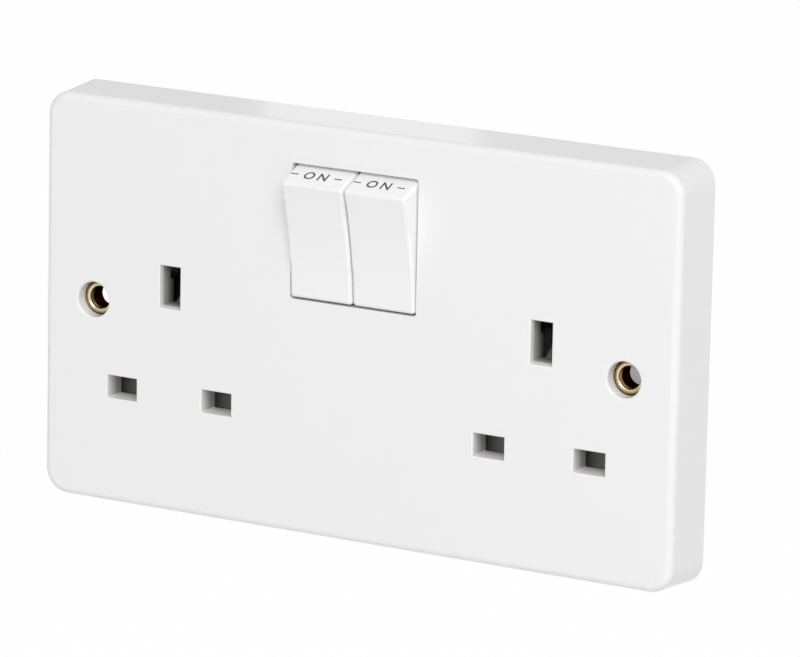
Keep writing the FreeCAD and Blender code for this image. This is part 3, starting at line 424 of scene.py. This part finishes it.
# Painted light on the eyelets: a highlight on the lip's crest, shade at its edge and down the bore.
BORE_SHADE_FROM = LIP_FRONT + 0.8 * MM
BORE_SHADE_TO = LIP_FRONT + 1.4 * MM
BORE_SHADE = (0.022, 0.012, 0.01)
EYELET_TINT = (0.38, 0.29, 0.24, 1.0)
EYELET_LINES = 0.003 * MM
BORE_EDGE = (0.0, (0.5, 0.37, 0.2))
LIP_EDGE_SHADE = (0.86, (0.05, 0.034, 0.016))
LIP_LIGHT_STOPS = (
    (0.12, (0.84, 0.7, 0.46)),
    (0.28, (0.84, 0.7, 0.46)),
    (0.42, (0.5, 0.37, 0.19)),
    (0.66, (0.4, 0.29, 0.14)),
)


def eyelet_finish():
    """Brass with a painted highlight on the lip's crest and painted shade at its edge and down the bore.
    """
    material, tree, shader = start_material("brass_with_painted_light")
    shader.inputs["Metallic"].default_value = 1.0
    shader.inputs["Specular Tint"].default_value = EYELET_TINT
    axes = object_axes(tree)
    across = math_node(tree, "SUBTRACT", math_node(tree, "ABSOLUTE", axes["X"]), FIXING_X)
    up = math_node(tree, "SUBTRACT", axes["Z"], FIXING_Z)
    square = math_node(tree, "ADD", math_node(tree, "MULTIPLY", across, across),
                       math_node(tree, "MULTIPLY", up, up))
    work = add_group(tree, worked_metal, Line_Scale=2600.0, Cloud_Scale=900.0)
    cloud = math_node(tree, "SUBTRACT", work.outputs["Tarnish"], NOISE_MIDDLE)
    stain = math_node(tree, "MULTIPLY", cloud, STAIN_REACH)
    radius = math_node(tree, "ADD", math_node(tree, "SQRT", square), stain)
    # painted highlight and shade across the lip, by distance from the hole's axis
    ramp = tree.nodes.new("ShaderNodeValToRGB")
    stops = ramp.color_ramp.elements
    for stop, (position, colour) in zip(stops, (BORE_EDGE, LIP_EDGE_SHADE)):
        stop.position = position
        stop.color = (*colour, 1.0)
    for position, colour in LIP_LIGHT_STOPS:
        stops.new(position).color = (*colour, 1.0)
    tree.links.new(map_range(tree, radius, BORE_RADIUS, LIP_RADIUS), ramp.inputs["Fac"])
    # painted shade down the inside of the bore
    inside = map_range(tree, math_node(tree, "ADD", axes["Y"], stain), BORE_SHADE_FROM, BORE_SHADE_TO)
    blend_colours(tree, inside, ramp.outputs["Color"], BORE_SHADE, shader)
    range_roughness(tree, work.outputs["Lines"], 0.2, 0.32, shader)
    raise_bump(tree, work.outputs["Lines"], LINE_STRENGTH, EYELET_LINES, shader)
    return material


eyelet_brass = eyelet_finish()
print("made", eyelet_brass.name)

# %% [markdown]
# ## Dressing the solids
# The imported record says which material slot each solid takes, and each slot has a finish. The earth
# guides share the shutters' slot, and they are moulded in a paler grey. The rockers share the plate's
# slot, and their white is painted a shade brighter, as painted light against the shade in their windows.

# %% Give each solid its finish
finishes = {
    "white_plastic": white_plastic,
    "base_plastic": base_plastic,
    "shutter_plastic": shutter_plastic,
    "plunger_plastic": plunger_plastic,
    "brass": brass,
    "eyelet_brass": eyelet_brass,
    "silver": silver,
    "steel": steel,
}
slots = {part["node"]: part["material_slot"] for part in frame["record"]["subparts"]}
for name, solid in nodes.items():
    solid.data.materials.clear()
    finish = finishes[slots[name]]
    if name.endswith("_guide"):
        finish = guide_plastic
    if name.endswith("_rocker"):
        finish = rocker_plastic_painted_bright
    solid.data.materials.append(finish)
print("dressed", len(nodes), "solids")

# %% [markdown]
# ## The print on the rockers
# Each rocker has the word ON between two short dashes, printed in dark grey on the sloped face at its
# top, which shows while the switch is on. Each letter is a text object made into a mesh, so that its
# strokes are real faces and its width is its own. The dashes are small planes, given round ends by a
# bevel. All are extruded to the thickness of a print and lie on the sloped face, a hair above it.

# %% Print finish
INK_SPECULAR = 0.3
ink, ink_tree, ink_shader = start_material("print_ink", INK_SPECULAR)
ink_skin = add_group(ink_tree, moulded_skin, Drift_Scale=900.0)
blend_colours(ink_tree, ink_skin.outputs["Drift"], (0.055, 0.055, 0.055), (0.1, 0.1, 0.098), ink_shader)
range_roughness(ink_tree, ink_skin.outputs["Gloss"], 0.5, 0.65, ink_shader)
print("made", ink.name)

# %% Where the print lies
TILT = radians(11.3)
PIVOT = Vector((0.0, -8.6 * MM, 19.85 * MM))
RIDGE = Vector((0.0, -6.8 * MM, 12.18 * MM))
SKIRT = Vector((0.0, 0.4 * MM, 13.62 * MM))
tip_to_on = Matrix.Rotation(TILT, 3, "X")
ridge = PIVOT + tip_to_on @ RIDGE
print_up = (tip_to_on @ (SKIRT - RIDGE)).normalized()
print_right = Vector((1.0, 0.0, 0.0))
print_out = print_right.cross(print_up)
PRINT_RISE = 3.5 * MM
PRINT_SHIFT = -0.55 * MM
PRINT_THICKNESS = 0.02 * MM
print("print face points", [round(v, 3) for v in print_out])


def on_print_face(x):
    """The placement of a piece of print, flat in X and Y, on the sloped face at one X."""
    centre = ridge + print_up * PRINT_RISE + print_out * PRINT_THICKNESS
    centre.x = x + PRINT_SHIFT
    turn = Matrix((print_right, print_up, print_out)).transposed().to_4x4()
    return Matrix.Translation(centre) @ turn


# %% Make the letters and the dashes
LETTER_HEIGHT = 2.4 * MM
LETTERS = (("O", -1.54 * MM, 2.3 * MM), ("N", 1.54 * MM, 1.98 * MM))
LETTER_STROKE = 0.014
LETTER_EXTRUDE = 0.005
LETTER_CURVE_STEPS = 8
DASH_LENGTH = 1.75 * MM
DASH_STROKE = 0.3 * MM
DASH_FROM_MIDDLE = 4.92 * MM
DASH_ROUND = 0.35 * DASH_STROKE
DASH_ROUND_STEPS = 4


def settle(piece):
    """Apply an object's placement to its mesh and leave it alone selected."""
    bpy.ops.object.select_all(action="DESELECT")
    piece.select_set(True)
    bpy.context.view_layer.objects.active = piece
    bpy.ops.object.transform_apply(location=True, rotation=True, scale=True)


def make_letter(name, letter, x, width):
    """One letter as a thin mesh of the print's height, its middle at one X."""
    bpy.ops.object.select_all(action="DESELECT")
    bpy.ops.object.text_add()
    piece = bpy.context.object
    piece.name = name
    piece.data.body = letter
    piece.data.resolution_u = LETTER_CURVE_STEPS
    piece.data.offset = LETTER_STROKE
    piece.data.extrude = LETTER_EXTRUDE
    bpy.ops.object.convert(target="MESH")
    piece = bpy.context.object
    corners = [v.co for v in piece.data.vertices]
    low = Vector([min(c[i] for c in corners) for i in range(3)])
    high = Vector([max(c[i] for c in corners) for i in range(3)])
    size = high - low
    middle = (low + high) / 2
    piece.scale = (width / size.x, LETTER_HEIGHT / size.y, PRINT_THICKNESS / size.z)
    piece.location = [-middle[i] * piece.scale[i] for i in range(3)]
    piece.location.x += x
    settle(piece)
    return piece


def make_dash(name, x):
    """One dash with round ends, extruded to the print's thickness."""
    bpy.ops.object.select_all(action="DESELECT")
    bpy.ops.mesh.primitive_plane_add(size=1.0)
    piece = bpy.context.object
    piece.name = name
    piece.scale = (DASH_LENGTH, DASH_STROKE, 1.0)
    settle(piece)
    bpy.ops.object.mode_set(mode="EDIT")
    bpy.ops.mesh.select_all(action="SELECT")
    bpy.ops.mesh.bevel(offset=DASH_ROUND, segments=DASH_ROUND_STEPS, affect="VERTICES")
    bpy.ops.mesh.select_all(action="SELECT")
    bpy.ops.mesh.extrude_region_move(TRANSFORM_OT_translate={"value": (0.0, 0.0, PRINT_THICKNESS)})
    bpy.ops.mesh.select_all(action="SELECT")
    bpy.ops.mesh.normals_make_consistent(inside=False)
    bpy.ops.object.mode_set(mode="OBJECT")
    piece.location = (x, 0.0, -PRINT_THICKNESS / 2)
    settle(piece)
    return piece


def print_on(side, x):
    """Letters and dashes of one rocker, joined, placed and fixed to it."""
    pieces = []
    for letter, place, width in LETTERS:
        pieces.append(make_letter(side + "_on_print_" + letter, letter, place, width))
    for i, way in enumerate((-1, 1)):
        pieces.append(make_dash(side + "_dash_%d" % i, way * DASH_FROM_MIDDLE))
    bpy.ops.object.select_all(action="DESELECT")
    for piece in pieces:
        piece.select_set(True)
    bpy.context.view_layer.objects.active = pieces[0]
    bpy.ops.object.join()
    printed = pieces[0]
    printed.name = side + "_on_print"
    printed.matrix_world = on_print_face(x)
    settle(printed)
    printed.data.materials.clear()
    printed.data.materials.append(ink)
    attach(printed, side + "_rocker")
    return printed


for side in ("left", "right"):
    low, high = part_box(side + "_rocker")
    printed = print_on(side, (low.x + high.x) / 2)
    print("printed", printed.name, len(printed.data.polygons), "faces")

# %% [markdown]
# ## The shutters' springs
# Each shutter is held shut by a coil spring on the base's bottom wall. When a plug's earth pin pushes
# the shutter down, the spring is pressed flat, so a coil of round wire stands in for the plain one of
# the imported model: a circle swept along a helix by a screw modifier, with its two ends closed.

# %% Make the springs
COIL_TURNS = 6
WIRE_RADIUS = 0.24 * MM
WIRE_SIDES = 10
COIL_STEPS = 24
COIL_MARGIN = 0.01 * MM
SMOOTH_ANGLE = radians(40.0)


def make_coil(side):
    """A coil of round wire in the place of one shutter's spring."""
    low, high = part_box(side + "_shutter_spring")
    middle = (low + high) / 2
    coil_radius = (high.x - low.x) / 2 - COIL_MARGIN - WIRE_RADIUS
    rise = high.z - low.z - 2 * WIRE_RADIUS
    bpy.ops.object.select_all(action="DESELECT")
    bpy.ops.mesh.primitive_circle_add(
        vertices=WIRE_SIDES, radius=WIRE_RADIUS, rotation=(radians(90.0), 0.0, 0.0),
        location=(coil_radius, 0.0, 0.0))
    piece = bpy.context.object
    piece.name = side + "_shutter_coil"
    settle(piece)
    bpy.ops.object.modifier_add(type="SCREW")
    screw = piece.modifiers[-1]
    screw.axis = "Z"
    screw.iterations = COIL_TURNS
    screw.screw_offset = rise / COIL_TURNS
    screw.steps = screw.render_steps = COIL_STEPS
    bpy.ops.object.modifier_apply(modifier=screw.name)
    bpy.ops.object.mode_set(mode="EDIT")
    bpy.ops.mesh.select_all(action="SELECT")
    bpy.ops.mesh.fill_holes(sides=0)
    bpy.ops.mesh.select_all(action="SELECT")
    bpy.ops.mesh.normals_make_consistent(inside=False)
    bpy.ops.object.mode_set(mode="OBJECT")
    bpy.ops.object.shade_smooth_by_angle(angle=SMOOTH_ANGLE)
    piece.location = (middle.x, middle.y, low.z + WIRE_RADIUS)
    settle(piece)
    piece.data.materials.clear()
    piece.data.materials.append(steel)
    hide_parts(side + "_shutter_spring")
    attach(piece, "socket")
    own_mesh(piece)
    return piece


for side in ("left", "right"):
    coil = make_coil(side)
    print("wound", coil.name, len(coil.data.polygons), "faces")

# %% [markdown]
# ## Camera
# The photograph looks at the plate from its right and a little above, from about a metre away, so a
# long lens gives its flat perspective. The camera looks at a point near the plate's middle and is
# rolled a little, as the photograph is.

# %% Place the camera
CAMERA_PLACE = Vector((576.27, -1013.6, 273.06)) * MM
LOOK_AT = Vector((10.83, -12.6, 3.38)) * MM
ROLL = radians(1.207)
LENS = 271.53
SENSOR_WIDTH = 36.0
NEAREST_SEEN = 0.05
camera_data = bpy.data.cameras.new("photo_camera")
camera_data.sensor_width = SENSOR_WIDTH
camera_data.sensor_fit = "HORIZONTAL"
camera_data.lens = LENS
camera_data.clip_start = NEAREST_SEEN
camera = bpy.data.objects.new("photo_camera", camera_data)
bpy.context.collection.objects.link(camera)
camera.location = CAMERA_PLACE
camera.rotation_mode = "QUATERNION"
gaze = (LOOK_AT - CAMERA_PLACE).to_track_quat("-Z", "Y")
camera.rotation_quaternion = gaze @ Quaternion((0.0, 0.0, 1.0), ROLL)
bpy.context.scene.camera = camera
print("camera at", [round(v, 3) for v in camera.location], "lens", camera_data.lens)

# %% [markdown]
# ## Floor and light
# The photograph is a cut-out on white. A pale floor lies below the plate and keeps a soft shadow; the
# camera sees it and the world as white. The light is plain: an even pale world, which reflections see
# a little brighter than surfaces do, and one wide lamp above the camera. The right side is a shade
# darker than the front. The top side is seen at a low angle, so it mirrors the bright world behind it,
# and a narrow dim panel there leaves one long soft reflection.

# %% Floor
FLOOR_DROP = 160 * MM
FLOOR_SIZE = 12.0
FLOOR_PALE = (0.9, 0.9, 0.9, 1.0)
FLOOR_ROUGHNESS = 0.9
FLOOR_WHITE_SHARE = 0.985
bpy.ops.object.select_all(action="DESELECT")
bpy.ops.mesh.primitive_grid_add(x_subdivisions=4, y_subdivisions=4, size=FLOOR_SIZE,
                                location=(0.0, 0.0, cad_box[0][2] - FLOOR_DROP))
floor = bpy.context.object
floor.name = "studio_floor"
settle(floor)
floor_material = bpy.data.materials.new("studio_floor")
floor_material.use_nodes = True
floor_tree = floor_material.node_tree
floor_shader = floor_tree.nodes["Principled BSDF"]
floor_shader.inputs["Base Color"].default_value = FLOOR_PALE
floor_shader.inputs["Roughness"].default_value = FLOOR_ROUGHNESS
glow = add_node(floor_tree, "ShaderNodeEmission")
path = floor_tree.nodes.new("ShaderNodeLightPath")
seen = math_node(floor_tree, "MAXIMUM", path.outputs["Is Camera Ray"], path.outputs["Is Glossy Ray"])
share = math_node(floor_tree, "MULTIPLY", seen, FLOOR_WHITE_SHARE)
blend = floor_tree.nodes.new("ShaderNodeMixShader")
floor_tree.links.new(share, blend.inputs["Fac"])
floor_tree.links.new(floor_shader.outputs["BSDF"], blend.inputs[1])
floor_tree.links.new(glow.outputs["Emission"], blend.inputs[2])
floor_tree.links.new(blend.outputs["Shader"], floor_tree.nodes["Material Output"].inputs["Surface"])
floor.data.materials.append(floor_material)
print("floor at", round(floor.data.vertices[0].co.z, 4))

# %% World
WORLD_LIGHT = 0.44
WORLD_SHINE = 0.75
WHITE = (1.0, 1.0, 1.0, 1.0)
world = bpy.data.worlds.new("studio_world")
bpy.context.scene.world = world
world.use_nodes = True
sky = world.node_tree
even = sky.nodes["Background"]
even.inputs["Color"].default_value = WHITE
sky_path = sky.nodes.new("ShaderNodeLightPath")
shine = map_range(sky, sky_path.outputs["Is Glossy Ray"], 0.0, 1.0, WORLD_LIGHT, WORLD_SHINE)
sky.links.new(shine, even.inputs["Strength"])
white = sky.nodes.new("ShaderNodeBackground")
white.inputs["Color"].default_value = WHITE
white.inputs["Strength"].default_value = 1.0
sky_seen = math_node(
    sky, "MAXIMUM", sky_path.outputs["Is Camera Ray"], sky_path.outputs["Is Transmission Ray"])
sky_mix = sky.nodes.new("ShaderNodeMixShader")
sky.links.new(sky_seen, sky_mix.inputs["Fac"])
sky.links.new(even.outputs["Background"], sky_mix.inputs[1])
sky.links.new(white.outputs["Background"], sky_mix.inputs[2])
sky.links.new(sky_mix.outputs["Shader"], sky.nodes["World Output"].inputs["Surface"])
bpy.context.scene.view_settings.view_transform = "Standard"
print("world light", WORLD_LIGHT)

# %% Lamps
MAIN_PLACE = (0.81, -1.17, 1.1)
MAIN_TARGET = (0.0, 0.0, 0.0)
MAIN_SIDE = 1.4
MAIN_POWER = 20.4
PANEL_PLACE = (-1.2, 2.024, 0.74)
PANEL_TARGET = (0.0, 0.0, 0.04)
PANEL_WIDTH = 0.13
PANEL_HEIGHT = 0.5
PANEL_POWER = 0.086


def add_lamp(name, place, target, width, height, power):
    """A wide soft lamp that looks at a point."""
    lamp = bpy.data.lights.new(name, "AREA")
    lamp.shape = "RECTANGLE"
    lamp.size = width
    lamp.size_y = height
    lamp.energy = power
    holder = bpy.data.objects.new(name, lamp)
    bpy.context.collection.objects.link(holder)
    holder.location = place
    holder.rotation_euler = (Vector(target) - Vector(place)).to_track_quat("-Z", "Y").to_euler()


add_lamp("main_lamp", MAIN_PLACE, MAIN_TARGET, MAIN_SIDE, MAIN_SIDE, MAIN_POWER)
add_lamp("back_panel", PANEL_PLACE, PANEL_TARGET, PANEL_WIDTH, PANEL_HEIGHT, PANEL_POWER)
